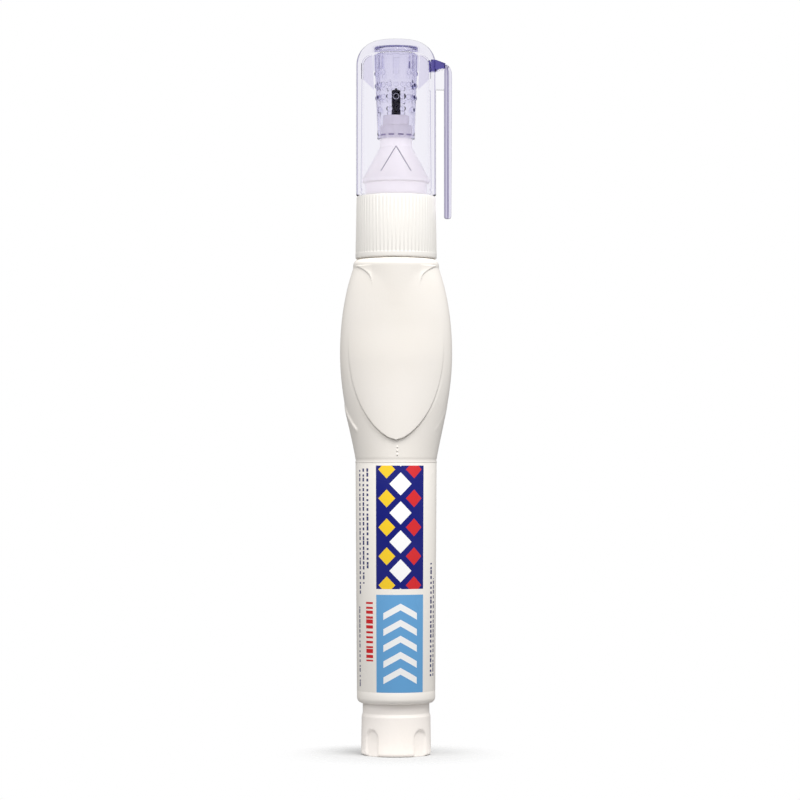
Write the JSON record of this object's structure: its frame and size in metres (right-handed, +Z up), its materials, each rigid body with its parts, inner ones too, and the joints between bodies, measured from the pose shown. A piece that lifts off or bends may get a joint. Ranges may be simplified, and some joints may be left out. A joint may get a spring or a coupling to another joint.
{
  "type": "correction pen",
  "caption": "Squeeze correction pen with an oval grip, ribbed nozzle, metal needle-valve tip, wrap label, tail plug and a clear cap with a pocket clip.",
  "frame": {"origin": "middle of the base plug's underside, on the pen's axis", "axes": "+Z up the pen's axis towards the cap, front of the label towards -Y, clip towards +X"},
  "size_m": [0.022, 0.017, 0.14],
  "materials": {
    "barrel_plastic": "warm white, satin moulded surface",
    "plug_plastic": "warm white, satin moulded surface",
    "label_film": "white coated label with blue printed panels",
    "nozzle_plastic": "white, satin moulded surface",
    "tip_metal": "plated metal",
    "needle_steel": "ground steel",
    "spring_steel": "drawn wire",
    "retainer_plastic": "natural white",
    "ball_steel": "polished ball",
    "cap_clear_plastic": "clear with a lilac tint",
    "sleeve_clear_plastic": "clear with a lilac tint"
  },
  "bodies": {
    "pen": {"barrel": "barrel_plastic", "base_plug": "plug_plastic", "label": "label_film", "nozzle": "nozzle_plastic", "tip_tube": "tip_metal", "valve_spring": "spring_steel", "spring_retainer": "retainer_plastic"},
    "needle": {"valve_needle": "needle_steel"},
    "ball": {"mixing_ball": "ball_steel"},
    "cap": {"cap_shell": "cap_clear_plastic", "cap_sleeve": "sleeve_clear_plastic"}
  },
  "joints": [
    {"name": "cap_pull", "type": "slide", "parent": "pen", "child": "cap", "axis": [0, 0, 1], "range_m": [0, 0.04]},
    {"name": "needle_push", "type": "slide", "parent": "pen", "child": "needle", "axis": [0, 0, -1], "range_m": [0, 0.0004], "stiffness_N_per_m": 200, "springref_m": -0.0006, "deforming": ["valve_spring"]},
    {"name": "ball_run", "type": "slide", "parent": "pen", "child": "ball", "axis": [0, 0, 1], "range_m": [0, 0.0914]}
  ]
}
